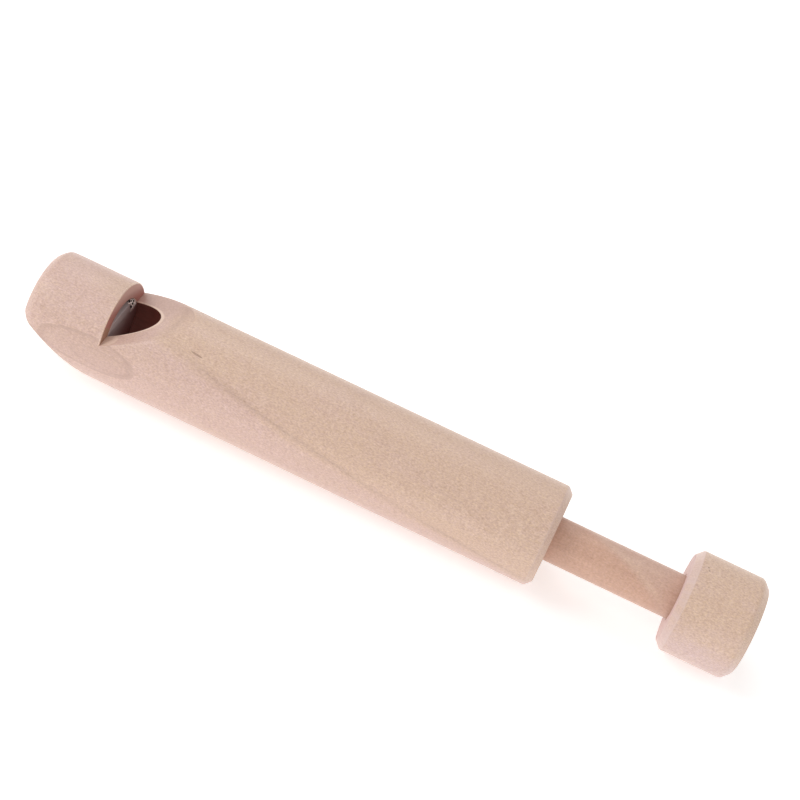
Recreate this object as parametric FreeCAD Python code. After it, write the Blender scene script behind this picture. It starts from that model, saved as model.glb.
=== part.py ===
# A wooden slide whistle, lying on its barrel with the window up. Millimetres.
# +X runs along the bore from the mouth end to the knob, and +Z goes up through the window.
# The origin is on the surface that the barrel lies on, under the middle of the whole length at rest.
import FreeCAD, Part
import math
import os

Vector = FreeCAD.Vector

# Barrel
barrel_length = 132.4
bore_dia = 17.0
barrel_wall = 4.0
mouth_chamfer = 2.0
mouth_edge_radius = 1.2
rear_chamfer = 1.5
rear_edge_radius = 0.5
bore_rear_chamfer = 0.3

# Window: a sawn step faces the knob, and a planed ramp rises from its foot to the outside
step_from_mouth = 20.2
step_lean_deg = 4.6
notch_depth = 8.35
ramp_angle_deg = 26.5

# Beak: the bevel under the mouth end leaves this thickness at the mouth
beak_length = 23.4
beak_thickness = 9.1

# Windway: the gap between the top of the bore and the flat top of the block
windway_height = 2.3

# Guide bush
bush_length = 10.0
bush_wall = 2.96
bush_recess = 0.4
bush_rim_chamfer = 0.3
bush_hole_chamfer = 0.5

# Slide rod, with a spigot that carries the piston
rod_running_clearance = 0.09
rod_end_chamfer = 0.8
rod_shoulder = 1.95

# Knob, turned a little smaller than the barrel
knob_undersize = 0.1
knob_length = 18.3
knob_inner_chamfer = 1.6
knob_inner_edge_radius = 0.5
knob_outer_chamfer = 2.0
knob_outer_edge_radius = 1.6
knob_hole_depth = 12.0
knob_hole_chamfer = 0.4
knob_hole_end_gap = 0.4

# Piston
head_running_clearance = 0.3
head_thickness = 6.0
head_chamfer = 0.5
seal_thickness = 6.0
seal_running_clearance = 0.06
seal_hole_clearance = 0.09
seal_end_clearance = 0.05
seal_edge_radius = 0.8
washer_lap = 1.8
washer_thickness = 0.8
washer_edge_chamfer = 0.15
washer_hole_clearance = 0.15

# Piston screw
screw_shank_dia = 2.8
screw_length = 12.0
screw_point_length = 2.4
screw_point_dia = 0.4
screw_head_dia = 5.6
screw_head_height = 2.0
screw_head_edge_radius = 1.5
screw_slot_width = 0.8
screw_slot_depth = 0.9
pilot_hole_extra_depth = 1.0

# Where the plunger stands at rest, and where it stops when it is pushed home or pulled out
rest_extension = 31.0
closed_gap = 0.5
lip_clearance = 2.0
bush_stop_clearance = 0.3

# How far a cutting tool runs past what it cuts
cut_overrun = 6.0

# Radii
bore_radius = bore_dia / 2
barrel_radius = bore_radius + barrel_wall
bush_hole_radius = bore_radius - bush_wall
rod_radius = bush_hole_radius - rod_running_clearance
spigot_radius = rod_radius - rod_shoulder
knob_radius = barrel_radius - knob_undersize
head_radius = bore_radius - head_running_clearance
seal_radius = bore_radius - seal_running_clearance
seal_hole_radius = spigot_radius + seal_hole_clearance
washer_radius = spigot_radius + washer_lap
screw_shank_radius = screw_shank_dia / 2
screw_point_radius = screw_point_dia / 2
screw_head_radius = screw_head_dia / 2
washer_hole_radius = screw_shank_radius + washer_hole_clearance

# Slopes, as rise over run
ramp_slope = math.tan(math.radians(ramp_angle_deg))
beak_slope = (2 * barrel_radius - beak_thickness) / beak_length
step_lean = math.tan(math.radians(step_lean_deg))

# Heights: the axis of the bore is one barrel radius above the surface
z_axis = barrel_radius
z_step_foot = z_axis + barrel_radius - notch_depth
z_windway_floor = z_axis + bore_radius - windway_height

# Places along the barrel
whole_length = barrel_length + rest_extension + knob_length
x_mouth = -whole_length / 2
x_rear = x_mouth + barrel_length
x_beak = x_mouth + beak_length
x_step = x_mouth + step_from_mouth
x_lip = x_step + (notch_depth - barrel_wall) / ramp_slope
x_ramp_top = x_step + notch_depth / ramp_slope
x_bush_rear = x_rear - bush_recess
x_bush_front = x_bush_rear - bush_length

# Places along the plunger at rest
push_travel = rest_extension - closed_gap
x_screw_front = x_lip + lip_clearance + push_travel
x_washer = x_screw_front + screw_head_height
x_spigot = x_washer + washer_thickness
x_seal = x_spigot + seal_end_clearance
x_seal_back = x_seal + seal_thickness
x_head = x_seal_back + seal_end_clearance
x_shoulder = x_head + head_thickness
x_screw_point = x_washer + screw_length
x_pilot_end = x_screw_point + pilot_hole_extra_depth
x_knob = x_rear + rest_extension
x_knob_end = x_knob + knob_length
x_knob_hole_end = x_knob + knob_hole_depth
x_rod_end = x_knob_hole_end - knob_hole_end_gap
pull_travel = x_bush_front - x_shoulder - bush_stop_clearance


def on_section(x, radius):
    """A point of a turned outline, in the upright plane through the axis."""
    return Vector(x, 0, z_axis + radius)


def turned(outline):
    """A solid turned about the axis of the bore.

    The outline is closed, and lists its corners as (x, radius, rounding), where the rounding is left out
    at a sharp corner. A rounded corner is an arc tangent to the two lines that meet there.
    """
    corners = [on_section(corner[0], corner[1]) for corner in outline]
    roundings = [corner[2] if len(corner) > 2 else 0 for corner in outline]
    stretches = []
    arcs = []
    for index, corner in enumerate(corners):
        back = (corners[index - 1] - corner).normalize()
        ahead = (corners[(index + 1) % len(corners)] - corner).normalize()
        half_angle = back.getAngle(ahead) / 2
        trim = roundings[index] / math.tan(half_angle)
        start = corner + back * trim
        end = corner + ahead * trim
        stretches.append((start, end))
        if trim > 0:
            to_centre = roundings[index] / math.sin(half_angle)
            middle = corner + (back + ahead).normalize() * (to_centre - roundings[index])
            arcs.append(Part.Arc(start, middle, end).toShape())
    lines = []
    for index, (start, end) in enumerate(stretches):
        lines.append(Part.makeLine(stretches[index - 1][1], start))
    wire = Part.Wire(Part.__sortEdges__(lines + arcs))
    face = Part.Face(wire)
    return face.revolve(on_section(0, 0), Vector(1, 0, 0), 360)


def wedge(corners):
    """A prism right across the barrel, from the (x, z) corners of its side."""
    half_width = barrel_radius + cut_overrun
    points = [Vector(x, -half_width, z) for x, z in corners]
    face = Part.Face(Part.makePolygon(points + points[:1]))
    return face.extrude(Vector(0, 2 * half_width, 0))


def notch_tool():
    """What the saw and the plane take out for the window: a triangle whose low corner is the foot of the step."""
    rise = notch_depth + cut_overrun
    top = z_step_foot + rise
    return wedge([
        (x_step, z_step_foot),
        (x_step + rise / ramp_slope, top),
        (x_step - rise * step_lean, top),
    ])


def beak_tool():
    """What the bevel under the mouth end takes away."""
    x_outside = x_mouth - cut_overrun
    return wedge([
        (x_beak + cut_overrun / beak_slope, -cut_overrun),
        (x_outside, -cut_overrun),
        (x_outside, (x_beak - x_outside) * beak_slope),
    ])


def windway_tool():
    """The flat that is planed on the block, with the room above it."""
    top = z_axis + barrel_radius
    return wedge([
        (x_mouth - cut_overrun, z_windway_floor),
        (x_step + cut_overrun, z_windway_floor),
        (x_step + cut_overrun, top),
        (x_mouth - cut_overrun, top),
    ])


def slot_tool():
    """The slot across the screw's head."""
    half_width = screw_slot_width / 2
    start = x_screw_front - cut_overrun
    size = x_screw_front + screw_slot_depth - start
    corner = Vector(start, -half_width, z_axis - barrel_radius)
    return Part.makeBox(size, screw_slot_width, 2 * barrel_radius, corner)


def barrel():
    tube = turned([
        (x_mouth, bore_radius),
        (x_mouth, barrel_radius - mouth_chamfer, mouth_edge_radius),
        (x_mouth + mouth_chamfer, barrel_radius, mouth_edge_radius),
        (x_rear - rear_chamfer, barrel_radius, rear_edge_radius),
        (x_rear, barrel_radius - rear_chamfer, rear_edge_radius),
        (x_rear, bore_radius + bore_rear_chamfer),
        (x_rear - bore_rear_chamfer, bore_radius),
    ])
    return tube.cut(notch_tool()).cut(beak_tool())


def windway_block():
    plug = turned([
        (x_mouth, 0),
        (x_mouth, bore_radius),
        (x_step, bore_radius),
        (x_step, 0),
    ])
    return plug.cut(windway_tool()).cut(notch_tool()).cut(beak_tool())


def guide_bush():
    return turned([
        (x_bush_front, bush_hole_radius + bush_hole_chamfer),
        (x_bush_front, bore_radius - bush_rim_chamfer),
        (x_bush_front + bush_rim_chamfer, bore_radius),
        (x_bush_rear, bore_radius),
        (x_bush_rear, bush_hole_radius + bush_hole_chamfer),
        (x_bush_rear - bush_hole_chamfer, bush_hole_radius),
        (x_bush_front + bush_hole_chamfer, bush_hole_radius),
    ])


def slide_rod():
    return turned([
        (x_spigot, screw_shank_radius),
        (x_spigot, spigot_radius),
        (x_shoulder, spigot_radius),
        (x_shoulder, rod_radius),
        (x_rod_end - rod_end_chamfer, rod_radius),
        (x_rod_end, rod_radius - rod_end_chamfer),
        (x_rod_end, 0),
        (x_pilot_end, 0),
        (x_pilot_end, screw_shank_radius),
    ])


def knob():
    return turned([
        (x_knob, rod_radius + knob_hole_chamfer),
        (x_knob, knob_radius - knob_inner_chamfer, knob_inner_edge_radius),
        (x_knob + knob_inner_chamfer, knob_radius, knob_inner_edge_radius),
        (x_knob_end - knob_outer_chamfer, knob_radius, knob_outer_edge_radius),
        (x_knob_end, knob_radius - knob_outer_chamfer, knob_outer_edge_radius),
        (x_knob_end, 0),
        (x_knob_hole_end, 0),
        (x_knob_hole_end, rod_radius),
        (x_knob + knob_hole_chamfer, rod_radius),
    ])


def piston_head():
    return turned([
        (x_head, spigot_radius),
        (x_head, head_radius - head_chamfer),
        (x_head + head_chamfer, head_radius),
        (x_shoulder - head_chamfer, head_radius),
        (x_shoulder, head_radius - head_chamfer),
        (x_shoulder, spigot_radius),
    ])


def piston_seal():
    return turned([
        (x_seal, seal_hole_radius),
        (x_seal, seal_radius, seal_edge_radius),
        (x_seal_back, seal_radius, seal_edge_radius),
        (x_seal_back, seal_hole_radius),
    ])


def piston_washer():
    return turned([
        (x_washer, washer_hole_radius),
        (x_washer, washer_radius - washer_edge_chamfer),
        (x_washer + washer_edge_chamfer, washer_radius),
        (x_spigot, washer_radius),
        (x_spigot, washer_hole_radius),
    ])


def piston_screw():
    body = turned([
        (x_screw_front, 0),
        (x_screw_front, screw_head_radius, screw_head_edge_radius),
        (x_washer, screw_head_radius),
        (x_washer, screw_shank_radius),
        (x_screw_point - screw_point_length, screw_shank_radius),
        (x_screw_point, screw_point_radius),
        (x_screw_point, 0),
    ])
    return body.cut(slot_tool())


pieces = {
    "barrel": barrel,
    "windway_block": windway_block,
    "guide_bush": guide_bush,
    "slide_rod": slide_rod,
    "knob": knob,
    "piston_head": piston_head,
    "piston_seal": piston_seal,
    "piston_washer": piston_washer,
    "piston_screw": piston_screw,
}

os.makedirs("parts", exist_ok=True)
for name, make in pieces.items():
    shape = make()
    shape.exportStep(f"parts/{name}.step")
    print(name, len(shape.Solids), "solid", round(shape.Volume), "mm3", "valid" if shape.isValid() else "not valid")
print("travel from rest:", round(-push_travel, 3), "to", round(pull_travel, 3))
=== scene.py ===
import math
from collections import namedtuple

import bmesh
import bpy
import numpy as np
from bpy.props import FloatProperty, FloatVectorProperty, IntProperty, PointerProperty
from mathutils import Matrix, Vector


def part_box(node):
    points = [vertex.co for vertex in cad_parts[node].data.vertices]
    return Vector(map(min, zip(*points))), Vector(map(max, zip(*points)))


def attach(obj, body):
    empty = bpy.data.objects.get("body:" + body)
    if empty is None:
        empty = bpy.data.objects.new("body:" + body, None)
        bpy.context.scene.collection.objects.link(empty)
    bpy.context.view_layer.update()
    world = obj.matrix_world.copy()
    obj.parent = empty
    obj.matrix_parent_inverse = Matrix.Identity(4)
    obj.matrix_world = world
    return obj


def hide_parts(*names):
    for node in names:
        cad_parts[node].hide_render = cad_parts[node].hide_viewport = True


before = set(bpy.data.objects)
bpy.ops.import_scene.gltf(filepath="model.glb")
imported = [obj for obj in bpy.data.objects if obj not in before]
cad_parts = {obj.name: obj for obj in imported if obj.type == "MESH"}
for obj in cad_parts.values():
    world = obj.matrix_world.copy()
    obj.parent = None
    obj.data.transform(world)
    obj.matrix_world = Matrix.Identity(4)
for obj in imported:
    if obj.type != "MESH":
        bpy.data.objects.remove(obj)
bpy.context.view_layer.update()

bl_info = {
    "name": "Slide whistle",
    "version": (1, 0, 0),
    "blender": (4, 5, 0),
    "location": "View3D > Sidebar > Whistle",
    "description": "Turned wooden slide whistle with a bored barrel and a sealed piston",
    "category": "Object",
}

MM = 0.001

barrel_low, barrel_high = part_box("barrel")
knob_low_and_sheen, knob_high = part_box("knob")
rod_low, rod_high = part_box("slide_rod")
head_low, head_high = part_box("piston_head")
seal_low, seal_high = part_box("piston_seal")
bush_low, bush_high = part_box("guide_bush")
screw_low, screw_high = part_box("piston_screw")

# In millimetres: the height of the bore's axis, and the window's sawn step from the mouth end
AXIS = (barrel_high.z - barrel_low.z) / 2 / MM
STEP_FROM_MOUTH = 20.2
STEP_AT = barrel_low.x / MM + STEP_FROM_MOUTH

# Roundings of turned corners: one left crisp, one sanded and one that is handled
CRISP, SANDED, HANDLED = 0.05 * MM, 0.12 * MM, 0.25 * MM
# How far a rounding of 1 starts before the edge of a chamfer of 45 degrees
CHAMFER_TRIM = math.tan(math.radians(45 / 2))
# An edge with a larger angle than this, in degrees, is a hard one
HARD_EDGE = 40
# The shares of the columns from the top to a cut's corner, and from there to the bottom
UPPER_SHARE, LOWER_SHARE = 0.21, 0.29
# The patches of the barrel's surface: the two ends are one patch, and the step and the ramp make the window
OUTSIDE, BORE, END, BEVEL, STEP, RAMP = range(6)

# Marks in the wood, and spots of painted light and shade. Places and reaches are in millimetres, with the
# bore's axis at the middle. Turns are in degrees about Z. inside and rim are the shares that the mark's
# colour has there.
Mark = namedtuple("Mark", "at reach colour inside rim turn", defaults=(0.0, 0.0))
MARKS = {
    "grazed_layer": Mark((-73.3, -12.5, 1.3), (12.6, 6.0, 4.4), "ring", 0.19, 0.4),
    "grazed_core": Mark((-69.5, -12.5, 0.9), (7.8, 6.0, 2.4), "ring", 0.06, 0.26),
    "dark_streak": Mark((-49.0, -6.9, 10.45), (1.9, 0.26, 0.26), "mark", 0.6, turn=8.9),
    # painted light over the step's shade in the ramp's corner
    "ramp_corner_light": Mark((-69.4, -9.0, 4.4), (2.6, 2.4, 2.0), "lip", 0.5),
    # painted shade in the step's lowest corner, partly scorched wood
    "step_corner_shade_and_scorch": Mark((STEP_AT, -9.6, 4.9), (3.0, 3.2, 2.8), "corner", 0.6),
    # painted shadow: near black where the windway's end lies in shade behind the torn fibres
    "windway_gap_shade": Mark((STEP_AT, 4.9, 5.7), (3.0, 1.3, 1.6), "gap", 0.92),
    "knob_dot": Mark((75.7, 0.1, 12.45), (0.24, 0.3, 0.6), "mark", 0.55),
    "second_dot": Mark((76.1, -0.75, 12.4), (0.24, 0.3, 0.6), "mark", 0.5),
}

# Where each lamp stands, in metres, and its power in watts
LAMPS = {
    "lamp_left": ((-0.65, -0.60, 0.22), 0.4),
    "lamp_high": ((-0.62, -0.30, 0.62), 1.85),
    "lamp_right": ((0.50, -0.70, 0.20), 0.5),
    "lamp_back": ((-0.20, 0.50, 0.70), 1.05),
}
LAMP_SIZE = 0.4
# How strongly the floor and the surroundings shine: to the camera, in reflections, and on the whistle
FLOOR_SHINES = (0.44, 1.0, 0.2)
SURROUNDINGS_SHINE = (1.0, 1.0, 0.56)
FLOOR_HALF = 1.5

# The photograph's view. In degrees, the bore's bearing in the picture, its tilt away from the camera and the
# window's roll about it. Then the pixel and the distance of the barrel's rear end.
BEARING, TILT, ROLL = 25.294, 5.489, 48.521
REAR_PIXEL = (551.80, 537.60)
REAR_DISTANCE = 423.98 * MM
LENS, SENSOR, PICTURE = 83.14, 36.0, 800


def tone(red, green, blue):
    """A colour as it looks on a screen, 0 to 255, turned into the light values that the nodes use."""
    shown = np.array([red, green, blue]) / 255
    return tuple(np.where(shown <= 0.04045, shown / 12.92, ((shown + 0.055) / 1.055) ** 2.4))


def length(name, description, mm):
    return FloatProperty(name=name, description=description, default=round(mm * MM, 6), min=0.0,
                         unit="LENGTH", subtype="DISTANCE", precision=5)


def place(name, description, metres):
    return FloatProperty(name=name, description=description, default=round(metres, 5),
                         unit="LENGTH", subtype="DISTANCE", precision=5)


def angle(name, description, degrees):
    return FloatProperty(name=name, description=description, default=math.radians(degrees), unit="ROTATION",
                         subtype="ANGLE")


def colour(name, coloured, red, green, blue):
    return FloatVectorProperty(name=name, description=f"Colour of {coloured}", size=3, subtype="COLOR",
                               min=0.0, max=1.0, default=tone(red, green, blue))


class WhistleBarrelSizes(bpy.types.PropertyGroup):
    mouth: place("Mouth end", "Place of the mouth end along the bore", barrel_low.x)
    rear: place("Rear end", "Place of the barrel's rear end along the bore", barrel_high.x)
    radius: place("Barrel radius", "Outside radius of the turned barrel", (barrel_high.z - barrel_low.z) / 2)
    bore: length("Bore radius", "Radius of the drilled bore", 8.5)
    mouth_chamfer: length("Mouth chamfer", "Chamfer round the mouth end", 2.0)
    mouth_rounding: length("Mouth rounding", "Rounding of the mouth chamfer's two edges", 2.6)
    rear_chamfer: length("Rear chamfer", "Chamfer round the rear end", 1.5)
    rear_rounding: length("Rear rounding", "Rounding of the rear chamfer's two edges", 0.5)
    bore_chamfer: length("Bore chamfer", "Chamfer where the bore leaves the rear end", 0.3)
    step: length("Step", "Distance from the mouth end to the sawn step of the window", STEP_FROM_MOUTH)
    step_lean: angle("Step lean", "How far the top of the step leans to the mouth end", 4.6)
    notch: length("Notch depth", "Depth of the window's foot below the top of the barrel", 8.35)
    ramp: angle("Ramp angle", "Slope of the planed ramp behind the window", 26.5)
    beak: length("Beak length", "Length of the bevel under the mouth end", 23.4)
    beak_thickness: length("Beak thickness", "What the bevel leaves at the mouth end", 9.1)
    windway: length("Windway height", "Gap over the flat top of the block", 2.3)
    block_play: length("Block joint", "Fine joint line round the block", 0.03)
    worn_edge: length("Worn edge", "Rounding that handling gives the cut edges", 0.3)
    blended_edge: length("Blended edge", "Rounding between the ramp and the barrel", 0.7)
    columns: IntProperty(name="Columns", description="Faces round the barrel", default=272, min=48)


class WhistlePlungerSizes(bpy.types.PropertyGroup):
    rod: place("Rod radius", "Radius of the slide rod", (rod_high.z - rod_low.z) / 2)
    rod_chamfer: length("Rod chamfer", "Chamfer of the rod's end in the knob", 0.8)
    spigot: length("Spigot radius", "Radius of the rod's end that carries the piston", 3.5)
    pilot: length("Pilot hole radius", "Radius of the screw's hole in the rod", 1.4)
    rod_front: place("Rod front", "Place of the rod's spigot end", rod_low.x)
    rod_back: place("Rod back", "Place of the rod's end in the knob", rod_high.x)
    pilot_end: place("Pilot hole end", "Place where the screw's hole ends", screw_high.x + 1.0 * MM)
    knob: place("Knob radius", "Radius of the turned knob", (knob_high.z - knob_low_and_sheen.z) / 2)
    knob_front: place("Knob front", "Place of the knob's inner end", knob_low_and_sheen.x)
    knob_back: place("Knob back", "Place of the knob's outer end", knob_high.x)
    knob_hole: length("Knob hole depth", "Depth of the hole that takes the rod", 12.0)
    hole_chamfer: length("Hole chamfer", "Chamfer of the knob's hole", 0.4)
    inner_chamfer: length("Inner chamfer", "Chamfer of the knob on the barrel's side", 1.6)
    outer_chamfer: length("Outer chamfer", "Chamfer of the knob's outer end", 2.0)
    outer_rounding: length("Outer rounding", "Rounding of the outer chamfer's two edges", 1.6)
    head: place("Piston head radius", "Radius of the piston's wooden disc", (head_high.z - head_low.z) / 2)
    head_chamfer: length("Piston head chamfer", "Chamfer of the piston's wooden disc", 0.5)
    seal: place("Seal radius", "Radius of the piston's soft seal", (seal_high.z - seal_low.z) / 2)
    seal_play: length("Seal clearance", "Gap between the seal and the rod's spigot", 0.09)
    seal_rounding: length("Seal rounding", "Rounding of the seal's two rims", 0.8)
    waist_depth: length("Waist depth", "Depth of the groove round the seal", 0.45)
    waist_half: length("Waist half width", "Half the width of the groove round the seal", 0.7)
    bush_hole: length("Bush hole radius", "Radius of the hole that guides the rod", 5.54)
    bush_rim: length("Bush rim", "Chamfer of the guide bush's outer edge", 0.3)
    bush_way: length("Bush way in", "Chamfer of the guide bush's hole", 0.5)


class WhistleColours(bpy.types.PropertyGroup):
    pale: colour("Pale wood", "the yellower growth layers", 218, 184, 161)
    pink: colour("Pink wood", "the pinker growth layers", 219, 184, 170)
    rod: colour("Rod wood", "the rod's greyer growth layers", 211, 172, 152)
    rod_second: colour("Second rod wood", "the rod's redder growth layers", 211, 166, 142)
    knob: colour("Knob wood", "the knob's yellower growth layers", 222, 188, 164)
    # partly painted reflection: the knob's pinker layers lie on its lower side and lighten it as the floor's
    # reflection does
    knob_low_and_sheen: colour("Second knob wood", "the knob's pinker growth layers", 223, 191, 181)
    flame: colour("Flame", "the light line in the slide rod", 226, 190, 166)
    ring: colour("Ring line", "the late wood lines", 178, 141, 126)
    mark: colour("Mark", "the few dark marks in the wood", 140, 96, 74)
    fleck: colour("Fleck", "the small flecks", 190, 152, 130)
    cut: colour("Cut wood", "the sawn step by its foot", 184, 124, 114)
    # painted shade in the step's foot corner, partly scorched wood
    corner: colour("Step corner", "the sawn step in its lowest corner", 168, 136, 108)
    # painted light: the sawn step lighter towards the top of the barrel, where more light falls on it
    cut_top_lit: colour("Cut wood above", "the sawn step by the top of the barrel", 222, 181, 168)
    # painted reflection: the turned ends lighter and pinker, as a white reflection at grazing angles makes
    # them
    turned_end_sheen: colour("Turned end", "the turned ends, across the grain", 224, 196, 190)
    # painted highlight along the window's lip, and painted light in the ramp's shaded corner
    lip: colour("Lip", "the thin wood along the window's lip", 244, 216, 196)
    worn: colour("Worn edge", "the edges that handling has smoothed", 236, 203, 182)
    bored: colour("Bored wood", "the drilled bore", 172, 112, 101)
    # painted light and shade: lit and shaded copies of the block's end, lighter by the windway where light
    # falls in through the window, darker further down
    block: colour("Block end", "the block's end by the windway, where the breath meets it", 207, 186, 183)
    block_far_shade: colour("Block end below", "the block's end away from the windway", 158, 108, 104)
    # painted shadow inside the windway's end
    gap: colour("Gap", "the dark gap behind the torn fibres", 30, 18, 16)
    fibre: colour("Torn fibre", "the fibres that the saw tore", 255, 232, 224)
    seal: colour("Seal", "the piston's seal", 44, 46, 50)
    steel: colour("Steel", "the screw and the washer", 196, 194, 190)
    floor: colour("Floor", "the floor", 246, 246, 246)


# Shapes


def shares(rows):
    """0 to 1 in even steps, down a column."""
    return np.linspace(0, 1, rows + 1)[:, None]


def outline_of(corners, arc_steps=8, hold=0.06 * MM):
    """A turned outline from its corners, each (x, radius, rounding).

    A rounded corner becomes an arc that is tangent to its two lines. Each straight stretch gets a point close
    to either end, which holds its shading flat. The ends of the list are the outline's ends, and stay sharp.
    """
    corners = np.asarray(corners, float)
    points = [corners[:1, :2]]
    for before, here, after in zip(corners[:-2], corners[1:-1], corners[2:]):
        back, ahead = before[:2] - here[:2], after[:2] - here[:2]
        back, ahead = back / np.hypot(*back), ahead / np.hypot(*ahead)
        half = math.acos(np.clip(back @ ahead, -1, 1)) / 2
        nearly_straight = half > math.radians(89)
        if here[2] == 0 or nearly_straight:
            points.append(here[None, :2])
            continue
        bisector = (back + ahead) / np.hypot(*(back + ahead))
        centre = here[:2] + bisector * here[2] / math.sin(half)
        start = here[:2] + back * here[2] / math.tan(half) - centre
        end = here[:2] + ahead * here[2] / math.tan(half) - centre
        t, span = shares(arc_steps), math.pi - 2 * half
        arc = (np.sin((1 - t) * span) * start + np.sin(t * span) * end) / math.sin(span)
        points.append(centre + arc)
    points.append(corners[-1:, :2])
    joined = [points[0]]
    for before, here in zip(points[:-1], points[1:]):
        a, b = before[-1], here[0]
        far = np.hypot(*(b - a))
        if far > 6 * hold:
            step = (b - a) / far * hold
            joined.append(np.array([a + step, b - step]))
        joined.append(here)
    return np.concatenate(joined)


def grid(points, patch):
    """The quads of a grid of points, row to row and column to column, and the number of each quad's patch.

    The patch is one number, or one for each row of quads.
    """
    rows, columns = points.shape[:2]
    number = np.arange(rows * columns).reshape(rows, columns)
    quads = np.stack([number[:-1, :-1], number[1:, :-1], number[1:, 1:], number[:-1, 1:]], -1).reshape(-1, 4)
    return points.reshape(-1, 3), quads, np.repeat(np.broadcast_to(patch, rows - 1), columns - 1)


def about_axis(x, radius, turn):
    """Points round the bore's axis: y = radius sin turn, and z = axis height + radius cos turn."""
    height = bpy.context.scene.whistle_barrel.radius
    x, radius, turn = np.broadcast_arrays(x, radius, turn)
    return np.stack([x, radius * np.sin(turn), height + radius * np.cos(turn)], -1)


def between(one, other, t):
    """A straight line: one where t is 0, and other where t is 1."""
    return one * (1 - t) + other * t


def ruled(one, other, rows, first=0.0):
    """Straight lines from each point of one edge to the point of the other edge in the same column.

    The first row can be a stated share of the way across, so that a wide rounding has room there.
    """
    t = shares(rows)
    if first:
        t[1:, 0] = np.linspace(first, 1, rows)
    return between(one, other, t[:, :, None])


def make_piece(name, body, grids, replaced=(), materials=(), by_patch=None, edges=(), sharp=HARD_EDGE):
    """One object from its grids of quads: corners that meet are joined, and the faces are turned outwards.

    by_patch gives a patch the number of its material. edges are weights for weigh_edges, by their label.
    """
    offset, points, quads, patches = 0, [], [], []
    for grid_points, grid_quads, grid_patch in grids:
        points.append(grid_points)
        quads.append(grid_quads + offset)
        patches.append(grid_patch)
        offset += len(grid_points)
    mesh = bpy.data.meshes.new(name)
    mesh.from_pydata(np.concatenate(points).tolist(), [], np.concatenate(quads).tolist())
    numbers = mesh.attributes.new("patch", "INT", "FACE")
    numbers.data.foreach_set("value", np.concatenate(patches).astype(np.int32))
    work = bmesh.new()
    work.from_mesh(mesh)
    bmesh.ops.remove_doubles(work, verts=work.verts, dist=0.002 * MM)
    bmesh.ops.recalc_face_normals(work, faces=work.faces)
    work.to_mesh(mesh)
    work.free()
    patch = np.zeros(len(mesh.polygons), np.int32)
    mesh.attributes["patch"].data.foreach_get("value", patch)
    mesh.polygons.foreach_set("use_smooth", np.ones(len(patch), bool))
    mesh.set_sharp_from_angle(angle=math.radians(sharp))
    obj = bpy.data.objects.new(name, mesh)
    bpy.context.scene.collection.objects.link(obj)
    for material in materials:
        mesh.materials.append(material)
    if by_patch:
        index = np.zeros(len(patch), np.int32)
        for number, material_number in by_patch.items():
            index[patch == number] = material_number
        mesh.polygons.foreach_set("material_index", index)
    for label, pairs in dict(edges).items():
        weigh_edges(mesh, patch, pairs, label)
    mesh.attributes.remove(mesh.attributes["patch"])
    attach(obj, body)
    if replaced:
        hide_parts(*replaced)
    return obj


def weigh_edges(mesh, patch, pairs, label):
    """Gives the edges between two patches the weight that pairs names, and takes the sharp mark off them.

    The weight is a number, or a function of the place along X.
    """
    faces_loops = np.zeros(len(patch), np.int32)
    mesh.polygons.foreach_get("loop_total", faces_loops)
    edge = np.zeros(len(mesh.loops), np.int32)
    mesh.loops.foreach_get("edge_index", edge)
    by_loop = np.repeat(patch, faces_loops)
    low = np.full(len(mesh.edges), patch.max())
    high = np.full(len(mesh.edges), patch.min())
    np.minimum.at(low, edge, by_loop)
    np.maximum.at(high, edge, by_loop)
    ends = np.zeros(2 * len(mesh.edges), np.int32)
    mesh.edges.foreach_get("vertices", ends)
    points = np.zeros(3 * len(mesh.vertices))
    mesh.vertices.foreach_get("co", points)
    middle_x = points[::3][ends].reshape(-1, 2).mean(1)
    weight = np.zeros(len(mesh.edges), np.float32)
    for (one, other), value in pairs.items():
        chosen = (low == min(one, other)) & (high == max(one, other))
        weight[chosen] = value(middle_x[chosen]) if callable(value) else value
    mesh.attributes.new(label, "FLOAT", "EDGE").data.foreach_set("value", weight)
    sharp = np.zeros(len(mesh.edges), bool)
    mesh.edges.foreach_get("use_edge_sharp", sharp)
    mesh.edges.foreach_set("use_edge_sharp", sharp & (weight == 0))


def wear(obj, width, material=-1, label="", segments=3):
    """Rounds the edges with a weight of that label, or every hard edge, as sanding and handling do."""
    bevel = obj.modifiers.new(label or "worn edges", "BEVEL")
    bevel.width = width
    bevel.segments = segments
    bevel.limit_method = "WEIGHT" if label else "ANGLE"
    bevel.angle_limit = math.radians(HARD_EDGE)
    if label:
        bevel.edge_weight = label
    bevel.use_clamp_overlap = False
    bevel.harden_normals = True
    bevel.material = material


def across_grain(outline):
    """1 for each stretch of an outline that runs more across the bore's axis than along it, otherwise 0."""
    ahead = np.abs(np.diff(outline, axis=0))
    return (ahead[:, 1] > 1.5 * ahead[:, 0]).astype(int)


def turned(name, body, replaced, materials, corners, arc_steps, columns=0):
    """A turned piece: each point (x, r) of its closed outline is carried round the axis of the bore.

    A second material is for the faces that run across the grain.
    """
    columns = columns or bpy.context.scene.whistle_barrel.columns // 2
    outline = outline_of([*corners, corners[0]], arc_steps)
    x, radius = outline.T
    patch = across_grain(outline)
    turn = np.linspace(0, 2 * math.pi, columns + 1)
    at_axis = radius < 0.0001 * MM
    breaks = np.flatnonzero(at_axis[:-1] & at_axis[1:]) + 1
    grids = [grid(about_axis(x[rows, None], radius[rows, None], turn), patch[rows[:-1]])
             for rows in np.split(np.arange(len(x)), breaks) if len(rows) > 1]
    return make_piece(name, body, grids, replaced, materials, {1: len(materials) - 1})


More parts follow.
